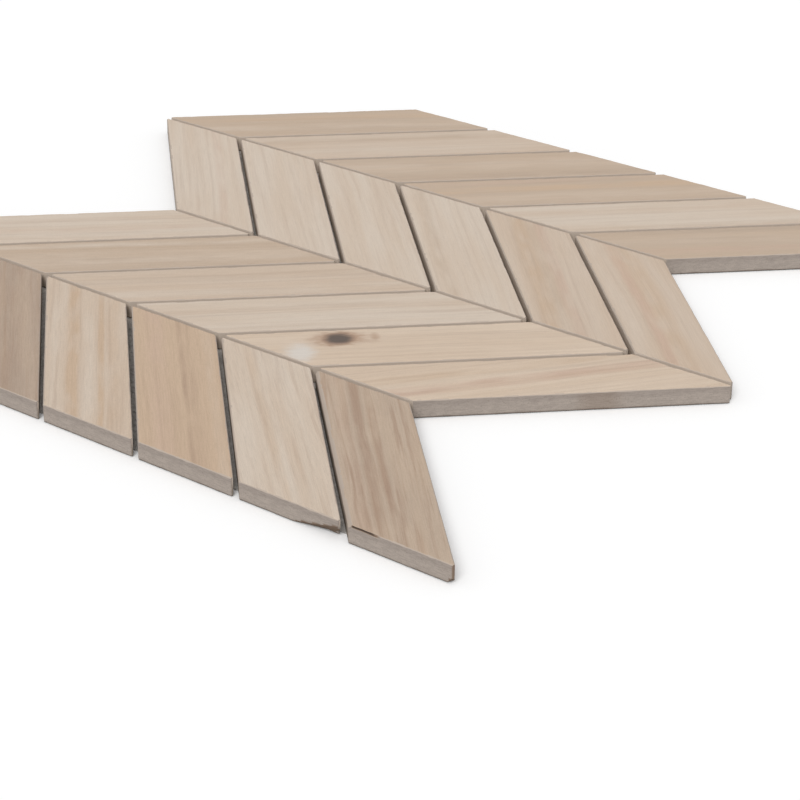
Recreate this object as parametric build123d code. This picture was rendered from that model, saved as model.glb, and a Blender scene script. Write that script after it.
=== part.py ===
"""Chevron mosaic sheet: parallelogram porcelain chips held on a backing net.

Millimetres, +Z up. The origin is the middle of the sheet, on the floor that the net lies on.
Columns run along Y and are counted along +X. Rows are counted along +Y.
"""
import os
from math import cos, radians, tan

from build123d import *

# Layout of the sheet
COLUMNS = 4
ROWS = 6
COLUMN_PITCH = 92.8
ROW_PITCH = 50.8
SLANT = 45.0
JOINT = 2.0

# One chip: a bevel round its printed face, and acute tips that are cut blunt
CHIP_THICKNESS = 7.6
ARRIS = 0.25
TIP_SETBACK = 1.4

# Tip of the second chip in column 1, broken off below: what is left of its height, and the length of
# the break along the outer face and along the joint
BREAK_LEFT = 2.5
BREAK_ALONG_FACE = 23.0
BREAK_ALONG_JOINT = 4.2

# Tip of the first chip in column 1, which has lost only its lower corner
NICK_LEFT = 4.2
NICK_ALONG_FACE = 3.8
NICK_ALONG_JOINT = 2.8

# Backing net, trimmed back from the edge of the sheet
NET_PITCH = 4.0
STRAND_WIDTH = 3.6
STRAND_THICKNESS = 0.2
NET_INSET = 5.0

# Worked out from the sizes above
STEEPNESS = tan(radians(SLANT))
PER_COSINE = 1 / cos(radians(SLANT))
HALF_WIDTH = (COLUMN_PITCH - JOINT) / 2
HALF_END = (ROW_PITCH - JOINT * PER_COSINE) / 2
NET_THICKNESS = 2 * STRAND_THICKNESS


def column_x(column):
    """Middle of a column, counted from 1."""
    return (column - (COLUMNS + 1) / 2) * COLUMN_PITCH


def row_y(row):
    """Middle of a row, counted from 1."""
    return (row - (ROWS + 1) / 2) * ROW_PITCH


def rise(column):
    """Columns slant up and down by turns, so that they meet in chevrons."""
    return STEEPNESS if column % 2 else -STEEPNESS


def blank_chip(column):
    """A whole chip at the origin, with its back at z = 0."""
    half_rise = HALF_WIDTH * rise(column)
    corners = [
        (-HALF_WIDTH, -half_rise - HALF_END),
        (HALF_WIDTH, half_rise - HALF_END),
        (HALF_WIDTH, half_rise + HALF_END),
        (-HALF_WIDTH, -half_rise + HALF_END),
    ]
    chip = extrude(make_face(Polyline(*corners, close=True)), CHIP_THICKNESS)
    upright = chip.edges().filter_by(Axis.Z)
    tips = upright.sort_by_distance((0, 0, CHIP_THICKNESS / 2))[-2:]
    chip = chamfer(tips, TIP_SETBACK)
    top_rim = chip.faces().sort_by(Axis.Z)[-1].edges()
    return chamfer(top_rim, ARRIS)


def break_tip(chip, left, along_face, along_joint):
    """Splits the lower corner off the outer acute tip of a chip of column 1, along a slanted plane."""
    tip = Vector(-HALF_WIDTH, -HALF_WIDTH * rise(1) - HALF_END, 0)
    on_face = tip + Vector(0, along_face, 0)
    on_tip = tip + Vector(0, 0, CHIP_THICKNESS - left)
    on_joint = tip + Vector(1, rise(1), 0).normalized() * along_joint
    inward = (on_tip - on_face).cross(on_joint - on_face)
    if inward.dot(tip - on_face) > 0:
        inward = -inward
    broken = Plane(origin=on_face, x_dir=on_tip - on_face, z_dir=inward)
    return split(chip, bisect_by=broken, keep=Keep.TOP)


def chip(column, row):
    """One chip in its place, with the damage that it has."""
    piece = blank_chip(column)
    if (column, row) == (1, 1):
        piece = break_tip(piece, NICK_LEFT, NICK_ALONG_FACE, NICK_ALONG_JOINT)
    if (column, row) == (1, 2):
        piece = break_tip(piece, BREAK_LEFT, BREAK_ALONG_FACE, BREAK_ALONG_JOINT)
    return Pos(column_x(column), row_y(row), NET_THICKNESS) * piece


def net_end(side):
    """Zigzag end of the net, side -1 at the first row and 1 at the last, from left to right."""
    edge_inset = JOINT / 2 + NET_INSET
    half_length = ROWS * ROW_PITCH / 2 - edge_inset * PER_COSINE
    points = []
    for spine in range(COLUMNS + 1):
        x = (spine - COLUMNS / 2) * COLUMN_PITCH
        y = side * half_length + rise(spine) * COLUMN_PITCH / 2
        if spine == 0:
            x += edge_inset
            y += edge_inset * rise(1)
        if spine == COLUMNS:
            x -= edge_inset
            y -= edge_inset * rise(COLUMNS)
        points.append((x, y))
    return points


def net_layer(strand_size, spacing, count):
    """Flat parallel strands, cut off along the outline that the net is trimmed to."""
    outline = make_face(Polyline(*net_end(-1), *reversed(net_end(1)), close=True))
    strands = Sketch() + [place * Rectangle(*strand_size) for place in GridLocations(*spacing, *count)]
    return extrude(outline & strands, STRAND_THICKNESS)


def backing_net():
    """The net's two layers: strands along the columns, and on them strands across the columns."""
    sheet_width = COLUMNS * COLUMN_PITCH
    sheet_length = ROWS * ROW_PITCH + COLUMN_PITCH * STEEPNESS
    along_count = int(sheet_width / NET_PITCH)
    across_count = int(sheet_length / NET_PITCH)
    spacing = (NET_PITCH, NET_PITCH)
    along = net_layer((STRAND_WIDTH, sheet_length), spacing, (along_count, 1))
    across = net_layer((sheet_width, STRAND_WIDTH), spacing, (1, across_count))
    return {"net_strands_along": along, "net_strands_across": Pos(Z=STRAND_THICKNESS) * across}


def build():
    """Every piece of the sheet by its name."""
    pieces = backing_net()
    for column in range(1, COLUMNS + 1):
        for row in range(1, ROWS + 1):
            pieces[f"chip_col{column}_row{row}"] = chip(column, row)
    return pieces


os.makedirs("parts", exist_ok=True)
for name, piece in build().items():
    export_step(piece, f"parts/{name}.step")
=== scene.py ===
"""Looks of a chevron mosaic sheet: wood-print porcelain chips on a woven backing net.

Shapes are worked out in millimetres, in the part's own frame, and handed over in metres.
On a chip, u runs along the grain, v across it and z up from the back of the chip.
"""

from collections import namedtuple
from math import radians, sqrt

import bmesh
import bpy
import numpy as np
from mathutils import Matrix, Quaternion, Vector


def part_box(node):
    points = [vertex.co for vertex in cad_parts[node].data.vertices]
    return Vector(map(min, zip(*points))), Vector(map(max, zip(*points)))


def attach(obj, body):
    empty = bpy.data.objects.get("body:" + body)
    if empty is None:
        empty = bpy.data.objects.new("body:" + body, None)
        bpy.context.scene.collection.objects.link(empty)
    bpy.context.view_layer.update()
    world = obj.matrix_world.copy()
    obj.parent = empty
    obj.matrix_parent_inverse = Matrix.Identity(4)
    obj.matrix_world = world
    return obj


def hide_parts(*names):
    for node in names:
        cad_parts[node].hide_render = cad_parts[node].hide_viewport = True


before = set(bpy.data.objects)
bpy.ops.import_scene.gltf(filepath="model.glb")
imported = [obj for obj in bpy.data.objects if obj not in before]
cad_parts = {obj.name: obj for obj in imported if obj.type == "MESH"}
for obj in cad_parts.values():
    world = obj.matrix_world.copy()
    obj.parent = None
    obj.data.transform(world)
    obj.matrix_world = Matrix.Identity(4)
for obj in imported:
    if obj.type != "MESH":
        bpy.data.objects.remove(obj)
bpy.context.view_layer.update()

MM = 0.001
SEED = 45

# The photograph's camera, in metres and degrees
CAMERA_PLACE = Vector((-0.74511, -0.60303, 0.40914))
CAMERA_AIM = Vector((-0.09449, -0.10134, 0.008))
CAMERA_ROLL = 0.598
CAMERA_LENS = 105.389
CAMERA_SENSOR = 36.0

# Studio: a broad soft sun from the camera's left, an even pale surround, and a floor that looks white
# but throws little light back
SUN_TRAVEL = Vector((0.689, 0.278, -0.669))
SUN_SPREAD = 30.0
SUN_STRENGTH = 1.67
SURROUND_LEVEL = 0.60
FLOOR_SIZE = 6.0
FLOOR_SHADE = 0.98
FLOOR_GLOW = 0.08
FLOOR_BOUNCE = 0.35

# Mesh of a chip: lines close to its edges, a step between the others, and shares of the wall's depth
EDGE_LINES = np.array([0.0, 0.12, 0.28, 0.5, 0.9, 1.4])
GRID_STEP = 1.3
WALL_SHARES = (0.02, 0.06, 0.10, 0.13, 0.25, 0.40, 0.55, 0.70, 0.85, 0.93, 1.0)

# Wear of a chip: bevel of the printed face, wider on its far side and there widest on the first chip,
# small losses along it, sawn walls, and grain relief
ARRIS = 0.34
FAR_ARRIS = 0.5
FIRST_FAR_ARRIS = 1.1
ARRIS_SPREAD = 0.3
BEVEL_DROP = 0.05
LOSS_COUNT = (2, 6)
LOSS_DEPTH = (0.05, 0.25)
LOSS_REACH = (0.7, 2.2)
SAW_ROUGHNESS = 0.04
BACK_ROUNDING = 0.15
BACK_SPREAD = 0.6
RELIEF = 0.02
RIPPLE_LENGTHS = (31.0, 11.0, 4.3)
SHARP_ANGLE = 25.0
TIP_SETBACK = 1.4

# Broken tips of column 1, by row: height left, and length along the outer face and along the joint
BREAKS = {1: (4.2, 3.8, 2.8), 2: (2.5, 23.0, 4.2)}
BREAK_ROUGHNESS = 0.25

# Crack under the printed edge of the first chip's outer face, from its far corner; its dark colour is
# painted shade
CRACK_LENGTH = 14.6
CRACK_FADE = 4.0
CRACK_DEPTH = 0.6
CRACK_RINGS = 2

# Stains of the bare body: up to 1 they are brown, and towards 2 they turn dark with painted shade. Walls
# of joints have -1 in column 1, with painted shade low down and painted light above, and -2 elsewhere,
# with painted light all over
SHADED_BELOW = -1.0
LIT_ALL_OVER = -2.0
# Broken faces: brown above, turning to painted shade towards the foot
BREAK_BROWN_AND_SHADE = (0.8, 1.6)
TIP_STAIN = 0.8
SPOT_CHIP = (2, 1)
SPOT_STAIN = 0.42
SPOT_MIDDLE = 7.0
SPOT_REACH = 7.0

# Chips laid a little askew, as a sideways shift for each millimetre across the column, and near edges
# that are cut slim by so much at the outer tip
LEANS = {(1, 2): -0.0115, (1, 3): -0.007, (1, 5): 0.0075}
SLIM = {(1, 1): 0.85, (3, 1): 1.3}


def chip_name(column, row):
    """CAD node of a chip."""
    return f"chip_col{column}_row{row}"


def node_box(name):
    """Lowest and highest corner of a CAD node, in millimetres."""
    low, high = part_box(name)
    return np.array(low) / MM, np.array(high) / MM


# Sizes of the sheet, read from its first chip and the chips beside and behind it
COLUMNS = 4
ROWS = 6
first_low, first_high = node_box(chip_name(1, 1))
HALF_WIDTH = (first_high[0] - first_low[0]) / 2
THICKNESS = first_high[2] - first_low[2]
JOINT = node_box(chip_name(2, 1))[0][0] - first_high[0]
ROW_PITCH = node_box(chip_name(1, 2))[0][1] - first_low[1]
HALF_END = (ROW_PITCH - JOINT * sqrt(2)) / 2


def srgb(red, green, blue):
    """Colour of a picture, 0 to 255, as the renderer's linear colour."""
    shares = np.array([red, green, blue]) / 255
    linear = np.where(shares <= 0.04045, shares / 12.92, ((shares + 0.055) / 1.055) ** 2.4)
    return (*linear.tolist(), 1.0)


# Tones of the wood print, from pale to dark
TONES = {
    "ivory": srgb(209, 194, 178),
    "cream": srgb(212, 193, 173),
    "sand": srgb(203, 185, 167),
    "rose": srgb(197, 170, 151),
    "honey": srgb(196, 171, 146),
    "tan": srgb(190, 170, 150),
    "slate": srgb(172, 153, 136),
    "umber": srgb(161, 134, 114),
}

# Ground tone of each chip by column, from row 1 to row 6
GROUNDS = {
    1: "tan ivory honey sand slate sand".split(),
    2: "cream cream ivory sand tan ivory".split(),
    3: "sand sand ivory ivory ivory ivory".split(),
    4: "tan ivory tan tan sand tan".split(),
}

# Bands of the print: tone, middle and width across the chip, and strength, above 1 where they hardly fade
Band = namedtuple("Band", "tone middle width strength")
BANDS = {
    (1, 1): [
        Band("slate", 0, 40, 0.5),
        Band("rose", 11, 7, 0.3),
        Band("umber", 4.8, 4.5, 0.75),
        Band("umber", -0.5, 3.5, 0.7),
        Band("umber", 9.5, 3, 0.45),
    ],
    (1, 2): [Band("honey", 3.5, 4, 0.4), Band("sand", -3, 5, 0.6)],
    (1, 3): [
        Band("rose", 8, 9, 0.6),
        Band("umber", -2, 2.2, 0.5),
        Band("umber", -5, 7, 0.25),
        Band("sand", -13, 5, 0.4),
    ],
    (1, 4): [
        Band("honey", 5.5, 6, 1.2),
        Band("ivory", 12, 6, 0.8),
        Band("ivory", -1, 5, 0.7),
        Band("honey", -6, 3, 1.2),
        Band("honey", -11, 6, 0.5),
    ],
    (1, 5): [Band("umber", 0, 45, 0.3), Band("sand", -12, 8, 0.2), Band("umber", 4, 5, 0.5)],
    (1, 6): [Band("honey", 6, 8, 0.6), Band("ivory", -7, 9, 0.6)],
    (2, 1): [Band("rose", -1.5, 9, 0.9), Band("honey", 9, 9, 0.6), Band("ivory", 5, 5, 0.4)],
    (2, 2): [Band("sand", 5, 8, 0.4)],
    (2, 3): [Band("honey", 6, 8, 0.25)],
    (2, 4): [Band("ivory", -9, 8, 0.6), Band("tan", 6, 8, 0.5)],
    (2, 5): [Band("ivory", 12, 6, 0.8), Band("sand", -4, 18, 0.8), Band("honey", 6, 7, 0.4)],
    (2, 6): [Band("sand", 8, 7, 0.6), Band("rose", -4, 6, 0.4)],
    (3, 1): [Band("ivory", 12, 6, 0.3), Band("honey", 0, 16, 0.7), Band("rose", 3.5, 6, 0.8)],
    (3, 2): [Band("tan", 4, 18, 0.8), Band("honey", 7, 8, 0.9), Band("rose", -3, 6, 0.6)],
    (3, 3): [Band("tan", 10, 7, 0.6)],
    (3, 4): [Band("sand", 8, 6, 0.3)],
    (3, 5): [Band("sand", -7, 8, 0.3)],
    (3, 6): [Band("sand", 5, 9, 0.5), Band("rose", -6, 5, 0.4)],
    (4, 1): [Band("sand", 3, 14, 0.4), Band("rose", -9, 8, 0.5), Band("slate", 14, 6, 0.4)],
    (4, 2): [Band("sand", 9, 9, 0.8), Band("tan", -15, 6, 0.5)],
    (4, 3): [Band("honey", 5, 9, 1.0), Band("sand", -8, 14, 0.6), Band("rose", 14, 6, 0.5)],
    (4, 4): [Band("sand", 3, 16, 0.7), Band("slate", -12, 8, 0.4)],
    (4, 5): [Band("tan", 8, 9, 0.8), Band("ivory", -6, 7, 0.6)],
    (4, 6): [Band("sand", -5, 9, 0.7), Band("honey", 8, 8, 0.7)],
}
GRAIN_TILTS = {(1, 1): -1.0, (1, 2): 3.0, (2, 1): 9.0, (3, 2): -2.0}

# Streaks of the print, and those that differ from them: strength, and length along the grain
STREAK = (0.28, 130)
STREAKS = {(1, 1): (0.70, 60), (1, 2): (0.32, 60), (1, 5): (0.65, 130)}

# Sheen of every piece
SPECULAR = 0.25


class Graph:
    """One node material, built with short calls that take numbers, colours or sockets."""

    def __init__(self, name):
        self.material = bpy.data.materials.new(name)
        self.material.use_nodes = True
        self.tree = self.material.node_tree
        self.surface = self.tree.nodes["Principled BSDF"]

    def feed(self, socket, value):
        """Links a socket to another, or sets its own value."""
        if isinstance(value, bpy.types.NodeSocket):
            self.tree.links.new(value, socket)
        else:
            socket.default_value = value

    def node(self, kind, inputs, output=0, **settings):
        """Adds a node, and returns one of its outputs."""
        made = self.tree.nodes.new("ShaderNode" + kind)
        for name, value in settings.items():
            setattr(made, name, value)
        for socket, value in inputs.items():
            self.feed(made.inputs[socket], value)
        return made.outputs[output]

    def math(self, operation, first, second=0.0, third=0.0):
        return self.node("Math", {0: first, 1: second, 2: third}, operation=operation)

    def attribute(self, name, output="Vector"):
        return self.node("Attribute", {}, output, attribute_name=name)

    def axis(self, vector, name):
        return self.node("SeparateXYZ", {0: vector}, name)

    def place(self, vector, sizes=(1, 1, 1), shift=(0, 0, 0), turn=0.0):
        """Coordinates turned, moved and measured in the given sizes."""
        scale = tuple(1 / size for size in sizes)
        inputs = {"Vector": vector, "Location": shift, "Rotation": (0, 0, radians(turn)), "Scale": scale}
        return self.node("Mapping", inputs, vector_type="POINT")

    def noise(self, vector, sizes, shift=(0, 0, 0), detail=2.0, roughness=0.5):
        """Soft random pattern, 0 to 1, with patches of the given sizes."""
        placed = self.place(vector, sizes, shift)
        inputs = {"Vector": placed, "Scale": 1.0, "Detail": detail, "Roughness": roughness}
        return self.node("TexNoise", inputs, "Fac")

    def span(self, value, start, end, low=0.0, high=1.0):
        """Smooth step from low at start to high at end."""
        inputs = {"Value": value, "From Min": start, "From Max": end, "To Min": low, "To Max": high}
        return self.node("MapRange", inputs, interpolation_type="SMOOTHSTEP")

    def mix(self, share, first, second, blend="MIX"):
        return self.node("Mix", {0: share, 6: first, 7: second}, 2, data_type="RGBA", blend_type=blend)

    def shade(self, colour, factor):
        """Colour made lighter or darker by a factor."""
        grey = self.node("CombineColor", {0: factor, 1: factor, 2: factor})
        return self.mix(1.0, colour, grey, "MULTIPLY")

    def bump(self, height, strength, distance):
        return self.node("Bump", {"Height": height, "Strength": strength, "Distance": distance * MM})

    def finish(self, colour, roughness, normal):
        """Feeds the surface, and returns the material."""
        self.feed(self.surface.inputs["Base Color"], colour)
        self.feed(self.surface.inputs["Roughness"], roughness)
        self.feed(self.surface.inputs["Normal"], normal)
        self.surface.inputs["Specular IOR Level"].default_value = SPECULAR
        return self.material


# Knot in a chip of column 2: middle and half sizes along and across the grain
KNOT_CHIP = (2, 2)
KNOT = (-34.4, 7.7)
KNOT_SIZE = (5.8, 5.2)
RING_SIZE = (9.0, 7.2)
FLARE_SIZE = (17, 8)
KNOT_HEART = srgb(86, 75, 68)
KNOT_RING = srgb(170, 139, 116)
SECOND_MARK = (-19.2, 8.6)
MARK_SIZE = (2.4, 4)
PALE_PATCH = (-51.0, -4.0)
PATCH_SIZE = (7, 10)
PALE_TONE = srgb(214, 208, 201)
RAG_SIZE = (5, 2.5, 1)


def oval(graph, grain, middle, size, raggedness=0.5):
    """Distance from a middle in shares of an oval's half sizes, made uneven."""
    centred = graph.place(grain, (*size, 1e6), (-middle[0] / size[0], -middle[1] / size[1], 0))
    reach = graph.node("VectorMath", {0: centred}, "Value", operation="LENGTH")
    uneven = graph.math("SUBTRACT", graph.noise(grain, RAG_SIZE, detail=3.0), 0.5)
    return graph.math("MULTIPLY_ADD", uneven, 2 * raggedness, reach)


def knot(graph, grain, tone):
    """A dark knot with a brown ring and a flare along the grain, a mark beside it and a pale patch."""
    patch = oval(graph, grain, PALE_PATCH, PATCH_SIZE)
    tone = graph.mix(graph.span(patch, 1.3, 0.3, 0.0, 0.8), tone, PALE_TONE)
    flare = oval(graph, grain, KNOT, FLARE_SIZE)
    tone = graph.mix(graph.span(flare, 1.2, 0.3, 0.0, 0.5), tone, KNOT_RING)
    ring = oval(graph, grain, KNOT, RING_SIZE)
    tone = graph.mix(graph.span(ring, 1.25, 0.6, 0.0, 0.85), tone, KNOT_RING)
    mark = oval(graph, grain, SECOND_MARK, MARK_SIZE)
    tone = graph.mix(graph.span(mark, 1.3, 0.2, 0.0, 0.6), tone, KNOT_RING)
    heart = oval(graph, grain, KNOT, KNOT_SIZE, 0.25)
    return graph.mix(graph.span(heart, 1.4, 0.5, 0.0, 0.96), tone, KNOT_HEART)


# Printed face of one chip: strengths of its patterns, and their sizes along and across the grain
DRIFT = 1.6
DRIFT_SIZE = (80, 22, 1)
BAND_EDGE = (0.65, 0.15)
BAND_FAINT = 0.3
BAND_PATCHES = (26, 7, 1)
STREAK_WIDTH = 2.4
HUE = 0.3
HUE_SIZE = (90, 8, 1)
FIBRES = 0.05
FIBRE_SIZE = (12, 0.34, 1)
PORES = 0.10
PORE_SIZE = (4, 0.22, 1)
SPECKLES = 0.04
SPECKLE_SIZE = (0.45, 0.35, 1)
PRINT_ROUGHNESS = (0.62, 0.50)
PRINT_BUMP = (0.25, 0.05)

# Share by which the fine patterns grow fainter from one column to the next
FINE_LOSS = 0.15


def print_material(column, row, rng):
    """Wood print along the grain: ground tone, bands, streaks, fibres, pores and a fine speckle."""
    graph = Graph(f"print_col{column}_row{row}")
    shift = tuple(rng.uniform(-50, 50, 3).tolist())
    other_shift = shift[::-1]
    tilt = GRAIN_TILTS.get((column, row), float(rng.uniform(-1.5, 1.5)))
    grain = graph.place(graph.attribute("grain"), turn=-tilt)
    drift = graph.math("SUBTRACT", graph.noise(grain, DRIFT_SIZE, shift), 0.5)
    across = graph.math("MULTIPLY_ADD", drift, 2 * DRIFT, graph.axis(grain, "Y"))
    lane = graph.node("CombineXYZ", {0: graph.axis(grain, "X"), 1: across})

    tone = TONES[GROUNDS[column][row - 1]]
    patches = graph.noise(grain, BAND_PATCHES, other_shift)
    for band in BANDS[column, row]:
        offset = graph.math("ABSOLUTE", graph.math("SUBTRACT", across, band.middle))
        start, full = (share * band.width for share in BAND_EDGE)
        mask = graph.span(offset, start, full)
        patchy = graph.span(patches, 0.30, 0.65, BAND_FAINT * band.strength, band.strength)
        tone = graph.mix(graph.math("MULTIPLY", mask, patchy), tone, TONES[band.tone])

    fine = 1 - FINE_LOSS * (column - 1)
    strength, length = STREAKS.get((column, row), STREAK)
    streak = graph.noise(lane, (length, STREAK_WIDTH, 1), shift, 4.0, 0.6)
    tone = graph.mix(graph.span(streak, 0.46, 0.72, 0.0, strength * fine), tone, TONES["umber"])
    hue = graph.noise(lane, HUE_SIZE, other_shift)
    tone = graph.mix(graph.span(hue, 0.35, 0.70, 0.0, HUE), tone, TONES["honey"])
    if (column, row) == KNOT_CHIP:
        tone = knot(graph, grain, tone)

    fibre = graph.noise(lane, FIBRE_SIZE, shift, 3.0, 0.6)
    pore = graph.noise(lane, PORE_SIZE, other_shift, 1.0)
    speckle = graph.noise(grain, SPECKLE_SIZE, shift, 1.0)
    tone = graph.shade(tone, graph.span(fibre, 0.25, 0.75, 1 - FIBRES * fine, 1 + FIBRES * fine))
    tone = graph.shade(tone, graph.span(pore, 0.55, 0.80, 1.0, 1 - PORES * fine))
    tone = graph.shade(tone, graph.span(speckle, 0.25, 0.75, 1 - SPECKLES * fine, 1 + SPECKLES * fine))
    roughness = graph.span(fibre, 0.2, 0.8, *PRINT_ROUGHNESS)
    return graph.finish(tone, roughness, graph.bump(fibre, *PRINT_BUMP))


# Porcelain body, on the bevels, walls and back
BODY_TONE = srgb(179, 167, 157)
BODY_COOL = srgb(169, 157, 148)
BODY_SPECK = srgb(146, 134, 125)
# Painted light of the walls in joints, and painted shade low on the walls of column 1's joints
JOINT_LIGHT_TONE = srgb(196, 182, 168)
JOINT_SHADE_TONE = srgb(138, 126, 114)
# Painted highlight of the bevels, which face up
ARRIS_HIGHLIGHT_TONE = srgb(184, 170, 157)
# Painted contact shadow along the foot of the walls
FOOT_SHADOW_TONE = srgb(118, 105, 94)
BREAK_TONE = srgb(138, 117, 100)
# Painted shade of the crack, which also darkens the foot of the breaks
CRACK_SHADE_TONE = srgb(78, 66, 57)
COOL_START = 3.6
COOL_END = 6.2
# Heights over which the painted shade low in column 1's joints turns into painted light
JOINT_SHADE_START = 2.0
JOINT_SHADE_END = 6.0
CLOUD_SIZE = (7, 7, 3)
CLOUD_SWING = 3.0
SAW_MARKS = 0.10
SAW_SIZE = (3, 3, 0.45)
SPECKS = 0.7
SPECK_SIZE = (0.6, 0.6, 0.5)
FOOT_HEIGHT = 0.7
BODY_ROUGHNESS = (0.85, 0.7)
BODY_BUMP = (0.35, 0.12)


def body_material():
    """Unglazed porcelain: warm grey and speckled, cooler under the print, brown where it is broken, with
    painted shade in the crack, along the foot and low in column 1's joints, painted light on the walls of
    the joints and a painted highlight on the bevels.
    """
    graph = Graph("porcelain_body")
    grain = graph.attribute("grain")
    height = graph.axis(grain, "Z")
    cloud = graph.math("SUBTRACT", graph.noise(grain, CLOUD_SIZE, detail=3.0), 0.5)
    level = graph.math("MULTIPLY_ADD", cloud, CLOUD_SWING, height)
    tone = graph.mix(graph.span(level, COOL_START, COOL_END), BODY_TONE, BODY_COOL)
    saw = graph.noise(grain, SAW_SIZE, detail=3.0, roughness=0.6)
    tone = graph.shade(tone, graph.span(saw, 0.3, 0.7, 1 - SAW_MARKS, 1 + SAW_MARKS))
    speck = graph.noise(grain, SPECK_SIZE, detail=3.0, roughness=0.7)
    tone = graph.mix(graph.span(speck, 0.50, 0.72, 0.0, SPECKS), tone, BODY_SPECK)
    stain_and_shading = graph.attribute("stain_and_shading", "Fac")
    # Walls of joints: painted shade low down in column 1, and painted light above it and on all the other
    # joint walls
    high_up = graph.span(height, JOINT_SHADE_START, JOINT_SHADE_END)
    lit_share = graph.math("MAXIMUM", high_up, graph.span(stain_and_shading, SHADED_BELOW, LIT_ALL_OVER))
    joint_light_and_shade = graph.mix(lit_share, JOINT_SHADE_TONE, JOINT_LIGHT_TONE)
    tone = graph.mix(graph.span(stain_and_shading, 0.0, SHADED_BELOW), tone, joint_light_and_shade)
    # Painted contact shadow along the foot, made uneven
    uneven_foot = graph.math("MULTIPLY_ADD", cloud, FOOT_HEIGHT, height)
    tone = graph.mix(graph.span(uneven_foot, FOOT_HEIGHT, 0.0), tone, FOOT_SHADOW_TONE)
    # Painted highlight: faces turned up are made lighter
    facing = graph.axis(graph.node("NewGeometry", {}, "Normal"), "Z")
    tone = graph.mix(graph.span(facing, 0.15, 0.5), tone, ARRIS_HIGHLIGHT_TONE)
    # Brown on broken faces, blunt tips and a spot; towards 2 painted shade, in the crack and at the foot
    # of the breaks
    tone = graph.mix(graph.span(stain_and_shading, 0.0, 1.0), tone, BREAK_TONE)
    tone = graph.mix(graph.span(stain_and_shading, 1.0, 2.0), tone, CRACK_SHADE_TONE)
    roughness = graph.span(speck, 0.2, 0.8, *BODY_ROUGHNESS)
    return graph.finish(tone, roughness, graph.bump(speck, *BODY_BUMP))


# Mesh of one chip
def grid_lines(half, slope=1.0):
    """Lines from -half to half, close together by both edges. The slope stretches the edge distances."""
    edge = EDGE_LINES * slope
    inner = half - edge[-1]
    middle = np.linspace(-inner, inner, round(2 * inner / GRID_STEP) + 1)
    return np.concatenate([edge[:-1] - half, middle, half - edge[-2::-1]])


def ripple(places, rng):
    """Uneven line from -1 to 1: three waves of different length, begun at random."""
    waves = [np.sin(2 * np.pi * (places / length + rng.uniform())) for length in RIPPLE_LENGTHS]
    return sum(waves) / len(waves)


def edge_width(arris, places, rng):
    """Width of the bevel along an edge, with a few small losses."""
    width = arris * (1 + ARRIS_SPREAD * ripple(places, rng))
    for _ in range(rng.integers(*LOSS_COUNT)):
        middle = rng.uniform(places.min(), places.max())
        reach = rng.uniform(*LOSS_REACH)
        width = width + rng.uniform(*LOSS_DEPTH) * np.exp(-(((places - middle) / reach) ** 2))
    return width


def bevel_drop(x, w, far_arris, rng):
    """How far each point of the printed face lies below its plane, along the bevels of the four edges."""
    near_end, far_end = edge_width(ARRIS, w, rng), edge_width(ARRIS, w, rng)
    near_side, far_side = edge_width(ARRIS, x, rng), edge_width(far_arris, x, rng)
    to_sides = (HALF_END - np.abs(w)) / sqrt(2)
    drops = [
        near_end - (x + HALF_WIDTH),
        far_end - (HALF_WIDTH - x),
        np.where(w < 0, near_side, far_side) - to_sides,
    ]
    return np.clip(np.maximum.reduce(drops), 0, None)


def press(points, through, towards):
    """Moves the points outside a plane through three points onto it, and returns which moved."""
    normal = np.cross(through[1] - through[0], through[2] - through[0])
    depth = (through[0] - points) @ normal / (towards @ normal)
    moved = depth > 1e-6
    points[moved] += depth[moved, None] * towards
    return moved


def blunt_tips(points, rise):
    """Cuts the two acute tips of a chip, and returns which points are on the cuts."""
    long_edge = np.array([1, rise, 0]) / sqrt(2)
    cut = np.zeros(len(points), bool)
    for side in (-1, 1):
        tip = np.array([side * HALF_WIDTH, side * rise * (HALF_WIDTH + HALF_END), 0])
        on_end = tip - np.array([0, side * rise * TIP_SETBACK, 0])
        on_side = tip - side * long_edge * TIP_SETBACK
        upright = [on_end, on_side, on_end + np.array([0, 0, 1])]
        cut |= press(points, upright, (on_end + on_side) / 2 - tip)
    return cut


def break_tip(points, row, rng):
    """Breaks the lower corner off a chip's outer tip, and returns which points are broken."""
    left, along_face, along_joint = BREAKS[row]
    tip = np.array([-HALF_WIDTH, -HALF_WIDTH - HALF_END, 0])
    on_face = tip + np.array([0, along_face, 0])
    on_tip = tip + np.array([0, 0, THICKNESS - left])
    on_joint = tip + np.array([1, 1, 0]) / sqrt(2) * along_joint
    inward = (on_face + on_tip + on_joint) / 3 - tip
    moved = press(points, [on_face, on_tip, on_joint], inward)
    rough = rng.uniform(0, BREAK_ROUGHNESS, moved.sum())
    points[moved] += rough[:, None] * inward / np.linalg.norm(inward)
    return moved


def lay(points, chip, rise):
    """Moves the points as the chip was laid: a little askew, or slim along its near edge."""
    near = np.clip((rise * points[:, 0] - points[:, 1]) / HALF_END, 0, 1)
    outward = 0.5 - points[:, 0] / (2 * HALF_WIDTH)
    points[:, 1] += LEANS.get(chip, 0.0) * points[:, 0]
    points[:, 1] += SLIM.get(chip, 0.0) * near * outward


def add_attribute(mesh, name, kind, field, values):
    """Gives each point of a mesh a value of its own."""
    attribute = mesh.attributes.new(name, kind, "POINT")
    attribute.data.foreach_set(field, np.asarray(values, np.float32).ravel())


def crack_opening(x, w):
    """How far the crack is open at each point of the first chip's face, from 0 to 1."""
    from_corner = HALF_END - w
    opening = np.clip((CRACK_LENGTH - from_corner) / CRACK_FADE, 0, 1)
    return opening * (x < ARRIS - HALF_WIDTH) * (from_corner > sqrt(2) * FIRST_FAR_ARRIS)


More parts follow.
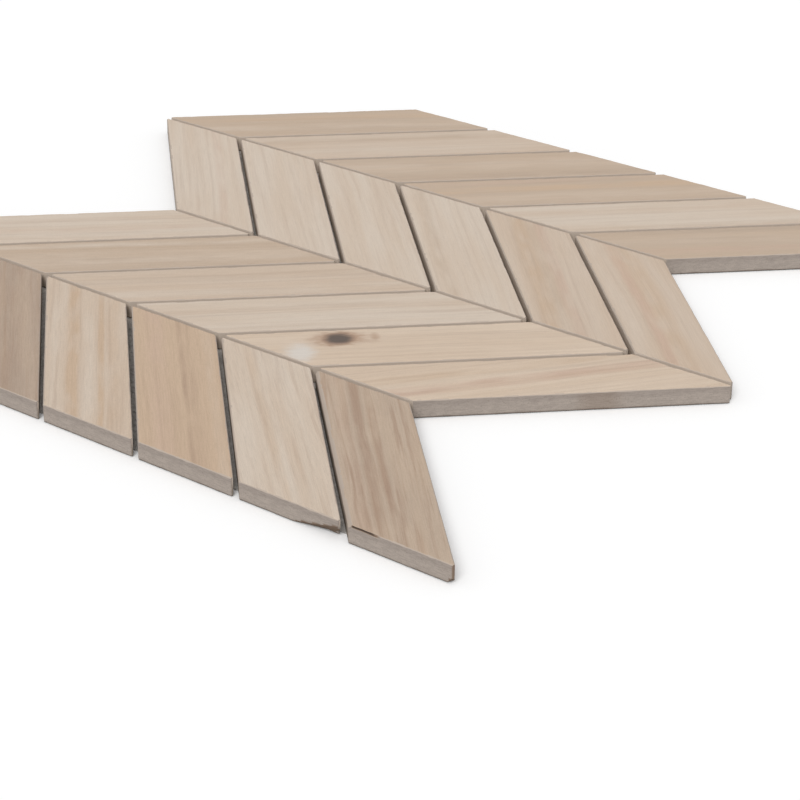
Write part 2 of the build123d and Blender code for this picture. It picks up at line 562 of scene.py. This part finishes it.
def wall_stains_and_shading(column, row, x, w, on_end, on_side):
    """Stains of the walls below each rim point: none round the sheet, painted shade and painted light on
    the walls of the joints, and a brown spot on one chip.
    """
    outer_end = on_end & ((column == 1) & (x < 0) | (column == COLUMNS) & (x > 0))
    outer_side = on_side & ((row == 1) & (w < 0) | (row == ROWS) & (w > 0))
    # Joint walls get -1 in column 1 and -2 elsewhere, for painted shade and painted light
    stain_and_shading = np.where(outer_end | outer_side, 0.0, SHADED_BELOW if column == 1 else LIT_ALL_OVER)
    if (column, row) == SPOT_CHIP:
        offset = (x - SPOT_MIDDLE) / SPOT_REACH
        stain_and_shading = stain_and_shading + SPOT_STAIN * np.exp(-(offset**4)) * outer_side
    return np.tile(stain_and_shading, (len(WALL_SHARES), 1))


def chip_polygons(index, rim):
    """Quads of the face, and then the quads of the walls and the back as one polygon."""
    corners = [index[:-1, :-1], index[1:, :-1], index[1:, 1:], index[:-1, 1:]]
    face = np.stack(corners, -1).reshape(-1, 4)
    below = index.size + np.arange(len(WALL_SHARES) * len(rim)).reshape(-1, len(rim))
    rings = [rim, *below]
    walls = [np.stack([a, b, np.roll(b, -1), np.roll(a, -1)], 1) for a, b in zip(rings, rings[1:])]
    return face, np.concatenate(walls).tolist() + [rings[-1][::-1].tolist()]


def chip_mesh(column, row, rng):
    """Mesh of a chip in its place, with its grain coordinates, and its stains with painted shade and
    light, as attributes.
    """
    rise = 1 if column % 2 else -1
    first = (column, row) == (1, 1)
    x_lines, w_lines = grid_lines(HALF_WIDTH), grid_lines(HALF_END, sqrt(2))
    x, w = (part.ravel() for part in np.meshgrid(x_lines, w_lines, indexing="ij"))
    drop = bevel_drop(x, w, FIRST_FAR_ARRIS if first else FAR_ARRIS, rng)
    relief = RELIEF * (0.5 + 0.5 * ripple(w / 2, rng)) * (0.5 + 0.5 * ripple(x, rng))
    z = THICKNESS - drop - relief

    index = np.arange(len(x)).reshape(len(x_lines), len(w_lines))
    rim = np.concatenate([index[:-1, 0], index[-1, :-1], index[:0:-1, -1], index[0, :0:-1]])
    on_end = np.isclose(np.abs(x[rim]), HALF_WIDTH)
    on_side = np.isclose(np.abs(w[rim]), HALF_END)
    inward = rng.uniform(0, SAW_ROUGHNESS, (len(WALL_SHARES), len(rim)))
    inward[-1] += BACK_ROUNDING * (1 + BACK_SPREAD * ripple(np.arange(len(rim)) * GRID_STEP, rng))
    face_crack_shade = np.zeros(len(x))
    wall_stain_and_shading = wall_stains_and_shading(column, row, x[rim], w[rim], on_end, on_side)
    if first:
        opening = crack_opening(x, w)
        # The crack's bevel and walls are darkened with painted shade
        face_crack_shade = 2 * opening
        inward[:CRACK_RINGS] += CRACK_DEPTH * opening[rim]
        wall_stain_and_shading[:CRACK_RINGS] = np.maximum(wall_stain_and_shading[:CRACK_RINGS], 2 * opening[rim])
    wall_x = x[rim] - inward * np.sign(x[rim]) * on_end
    wall_w = w[rim] - inward * np.sign(w[rim]) * on_side * sqrt(2)
    wall_z = z[rim] * (1 - np.array(WALL_SHARES)[:, None])

    all_x = np.concatenate([x, wall_x.ravel()])
    all_w = np.concatenate([w, wall_w.ravel()])
    all_z = np.concatenate([z, wall_z.ravel()])
    points = np.stack([all_x, all_w + rise * all_x, all_z], 1)
    stain_and_shading = np.concatenate([face_crack_shade, wall_stain_and_shading.ravel()])
    tips = blunt_tips(points, rise)
    if column == 1 and row in BREAKS:
        broken = break_tip(points, row, rng)
        # Broken faces turn from brown to painted shade towards the foot
        stain_and_shading[broken] = np.interp(points[broken, 2], (0, THICKNESS - BREAKS[row][0]), BREAK_BROWN_AND_SHADE[::-1])
    if first:
        stain_and_shading[tips] = TIP_STAIN
    along = (points[:, 0] + rise * points[:, 1]) / sqrt(2)
    across = (points[:, 1] - rise * points[:, 0]) / sqrt(2)
    grain = np.column_stack([along, across, points[:, 2]])
    lay(points, (column, row), rise)

    low, high = node_box(chip_name(column, row))
    centre = np.array([(low[0] + high[0]) / 2, (low[1] + high[1]) / 2, low[2]])
    face, others = chip_polygons(index, rim)
    mesh = bpy.data.meshes.new(f"tile_col{column}_row{row}")
    mesh.from_pydata(((points + centre) * MM).tolist(), [], face.tolist() + others)
    slots = np.ones(len(face) + len(others), np.int32)
    slots[: len(face)][drop[face].mean(1) < BEVEL_DROP] = 0
    mesh.polygons.foreach_set("material_index", slots)
    add_attribute(mesh, "grain", "FLOAT_VECTOR", "vector", grain)
    add_attribute(mesh, "stain_and_shading", "FLOAT", "value", stain_and_shading)
    mesh.shade_smooth()
    mesh.set_sharp_from_angle(angle=radians(SHARP_ANGLE))
    return mesh


def add_piece(mesh, slot, *nodes):
    """Puts a mesh in the scene for the CAD nodes that it stands for."""
    piece = bpy.data.objects.new(mesh.name, mesh)
    bpy.context.scene.collection.objects.link(piece)
    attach(piece, "root")
    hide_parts(*nodes)
    return piece


body = body_material()
for column in range(1, COLUMNS + 1):
    for row in range(1, ROWS + 1):
        rng = np.random.default_rng([SEED, column, row])
        mesh = chip_mesh(column, row, rng)
        mesh.materials.append(print_material(column, row, rng))
        mesh.materials.append(body)
        add_piece(mesh, "porcelain", chip_name(column, row))


# Backing net: flat woven strands, with the share of a crossing that is flat, the height of a strand's
# edges as a share of its middle, and the least length of a cut end
NET_TONE = srgb(218, 214, 209)
NET_SHADE = srgb(194, 190, 185)
THREAD_SIZE = (9, 0.16, 1)
SHADING = (0.85, 1.1)
SHADING_SIZE = (6, 4, 1)
NET_ROUGHNESS = (0.75, 0.55)
NET_BUMP = (0.4, 0.05)
STRAND_FLAT = 0.85
STRAND_CROWN = 0.35
STRAND_END = 0.1


def net_material():
    """Resin-coated glass fibre: fine threads along each strand."""
    graph = Graph("net_fibre")
    strand = graph.attribute("strand")
    thread = graph.noise(strand, THREAD_SIZE, detail=2.0)
    cloud = graph.noise(strand, SHADING_SIZE, detail=2.0)
    tone = graph.mix(graph.span(thread, 0.35, 0.65), NET_SHADE, NET_TONE)
    tone = graph.shade(tone, graph.span(cloud, 0.3, 0.7, *SHADING))
    roughness = graph.span(thread, 0.3, 0.7, *NET_ROUGHNESS)
    return graph.finish(tone, roughness, graph.bump(thread, *NET_BUMP))


def strand_boxes(name):
    """Lowest and highest corner of every strand of a CAD net node, in millimetres."""
    shape = bmesh.new()
    shape.from_mesh(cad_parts[name].data)
    bmesh.ops.remove_doubles(shape, verts=shape.verts, dist=0.01 * MM)
    left = set(shape.verts)
    boxes = []
    while left:
        island = {left.pop()}
        front = list(island)
        while front:
            vert = front.pop()
            joined = {edge.other_vert(vert) for edge in vert.link_edges} - island
            island |= joined
            front.extend(joined)
        left -= island
        corners = np.array([vert.co for vert in island]) / MM
        boxes.append((corners.min(0), corners.max(0)))
    shape.free()
    return sorted(boxes, key=lambda box: tuple(box[0]))


def full_strand(boxes, side):
    """Middle of a strand that kept its full width."""
    low, high = max(boxes, key=lambda box: box[1][side] - box[0][side])
    return (low[side] + high[side]) / 2


along_boxes = strand_boxes("net_strands_along")
across_boxes = strand_boxes("net_strands_across")
STRAND_THICKNESS = along_boxes[0][1][2] - along_boxes[0][0][2]
STRAND_SIDE = max(high[0] - low[0] for low, high in along_boxes) / 2
NET_PITCH = along_boxes[2][0][0] - along_boxes[1][0][0]


def woven_strand(low, high, axis, phase):
    """Ring points of one strand, which passes over and under the strands that it crosses."""
    start, end = low[axis], high[axis]
    side = 1 - axis
    middle = (low[side] + high[side]) / 2
    half = (high[side] - low[side]) / 2
    first = phase - np.ceil((phase - start) / NET_PITCH) * NET_PITCH
    crossings = np.arange(first, end + NET_PITCH, NET_PITCH)
    reach = STRAND_FLAT * STRAND_SIDE
    flats = np.stack([crossings - reach, crossings + reach], 1).ravel()
    inside = (flats > start + STRAND_END) & (flats < end - STRAND_END)
    places = np.concatenate([[start], flats[inside], [end]])
    nearest = np.round((places - phase) / NET_PITCH) * NET_PITCH + phase
    turn = np.floor((nearest + middle) / NET_PITCH).astype(int) % 2
    over = np.where(turn == axis, 0.5, -0.5)
    ring = [(-half, -STRAND_CROWN), (0, -1), (half, -STRAND_CROWN)]
    ring += [(half, STRAND_CROWN), (0, 1), (-half, STRAND_CROWN)]
    points = np.zeros((len(places), len(ring), 3))
    for number, (out, up) in enumerate(ring):
        points[:, number, axis] = places
        points[:, number, side] = middle + out
        points[:, number, 2] = STRAND_THICKNESS * (1 + over + 0.5 * up)
    coordinates = np.stack([points[..., axis], points[..., side], points[..., 2]], -1)
    return points, coordinates


def net_mesh(name, boxes, axis, phase):
    """All strands of one direction as one mesh."""
    verts, grain, polygons = [], [], []
    for low, high in boxes:
        points, coordinates = woven_strand(low, high, axis, phase)
        rings, sides = points.shape[:2]
        index = len(verts) + np.arange(rings * sides).reshape(rings, sides)
        a, b = index[:-1], index[1:]
        walls = np.stack([a, np.roll(a, -1, 1), np.roll(b, -1, 1), b], -1).reshape(-1, 4)
        polygons += walls.tolist() + [index[0][::-1].tolist(), index[-1].tolist()]
        verts += points.reshape(-1, 3).tolist()
        grain += coordinates.reshape(-1, 3).tolist()
    mesh = bpy.data.meshes.new(name)
    mesh.from_pydata((np.array(verts) * MM).tolist(), [], polygons)
    shape = bmesh.new()
    shape.from_mesh(mesh)
    bmesh.ops.recalc_face_normals(shape, faces=shape.faces)
    shape.to_mesh(mesh)
    shape.free()
    add_attribute(mesh, "strand", "FLOAT_VECTOR", "vector", grain)
    return mesh


net_finish = net_material()
for name, node, boxes, crossed, axis in (
    ("net_along", "net_strands_along", along_boxes, across_boxes, 1),
    ("net_across", "net_strands_across", across_boxes, along_boxes, 0),
):
    net = net_mesh(name, boxes, axis, full_strand(crossed, axis))
    net.materials.append(net_finish)
    add_piece(net, "net", node)


# Studio
def seen_directly(tree):
    """Socket that is 1 for what the camera sees, also in a mirror or through glass."""
    rays = tree.nodes.new("ShaderNodeLightPath")
    direct = rays.outputs["Is Camera Ray"]
    for name in ("Is Glossy Ray", "Is Transmission Ray"):
        either = tree.nodes.new("ShaderNodeMath")
        either.operation = "MAXIMUM"
        tree.links.new(direct, either.inputs[0])
        tree.links.new(rays.outputs[name], either.inputs[1])
        direct = either.outputs[0]
    return direct


def floor_material():
    """Matte floor that is white where it is seen and grey where it only throws light back."""
    graph = Graph("floor")
    direct = seen_directly(graph.tree)
    cloud = graph.noise(graph.node("TexCoord", {}, "Object"), (0.4, 0.4, 0.4))
    white = graph.span(cloud, 0.3, 0.7, FLOOR_SHADE - 0.01, FLOOR_SHADE)
    shade = graph.math("MULTIPLY_ADD", direct, graph.math("SUBTRACT", white, FLOOR_BOUNCE), FLOOR_BOUNCE)
    colour = graph.node("CombineColor", {0: shade, 1: shade, 2: shade})
    graph.surface.inputs["Specular IOR Level"].default_value = 0.0
    graph.surface.inputs["Roughness"].default_value = 1.0
    graph.surface.inputs["Emission Color"].default_value = (1, 1, 1, 1)
    graph.feed(graph.surface.inputs["Emission Strength"], graph.math("MULTIPLY", direct, FLOOR_GLOW))
    graph.feed(graph.surface.inputs["Base Color"], colour)
    return graph.material


def add_floor():
    """A plain level floor under the sheet."""
    half = FLOOR_SIZE / 2
    mesh = bpy.data.meshes.new("floor")
    corners = [(-half, -half, 0), (half, -half, 0), (half, half, 0), (-half, half, 0)]
    mesh.from_pydata(corners, [], [(0, 1, 2, 3)])
    mesh.materials.append(floor_material())
    floor = bpy.data.objects.new("floor", mesh)
    bpy.context.scene.collection.objects.link(floor)


def add_light():
    """A broad soft sun, and a surround that looks white to the camera and in reflections."""
    lamp = bpy.data.lights.new("sun", "SUN")
    lamp.energy = SUN_STRENGTH
    lamp.angle = radians(SUN_SPREAD)
    holder = bpy.data.objects.new("sun", lamp)
    holder.rotation_euler = SUN_TRAVEL.to_track_quat("-Z", "Y").to_euler()
    bpy.context.scene.collection.objects.link(holder)
    world = bpy.data.worlds.new("surround")
    world.use_nodes = True
    bpy.context.scene.world = world
    tree = world.node_tree
    lit = tree.nodes["Background"]
    lit.inputs["Color"].default_value = (1, 1, 1, 1)
    lit.inputs["Strength"].default_value = SURROUND_LEVEL
    seen = tree.nodes.new("ShaderNodeBackground")
    seen.inputs["Color"].default_value = (1, 1, 1, 1)
    seen.inputs["Strength"].default_value = 1.0
    choice = tree.nodes.new("ShaderNodeMixShader")
    tree.links.new(seen_directly(tree), choice.inputs[0])
    tree.links.new(lit.outputs[0], choice.inputs[1])
    tree.links.new(seen.outputs[0], choice.inputs[2])
    tree.links.new(choice.outputs[0], tree.nodes["World Output"].inputs["Surface"])


def add_camera():
    """The photograph's camera."""
    data = bpy.data.cameras.new("camera")
    data.lens = CAMERA_LENS
    data.sensor_width = CAMERA_SENSOR
    camera = bpy.data.objects.new("camera", data)
    camera.location = CAMERA_PLACE
    look = (CAMERA_AIM - CAMERA_PLACE).to_track_quat("-Z", "Y")
    camera.rotation_euler = (look @ Quaternion((0, 0, 1), radians(CAMERA_ROLL))).to_euler()
    bpy.context.scene.collection.objects.link(camera)
    bpy.context.scene.camera = camera


add_floor()
add_light()
add_camera()
bpy.context.scene.view_settings.view_transform = "Standard"
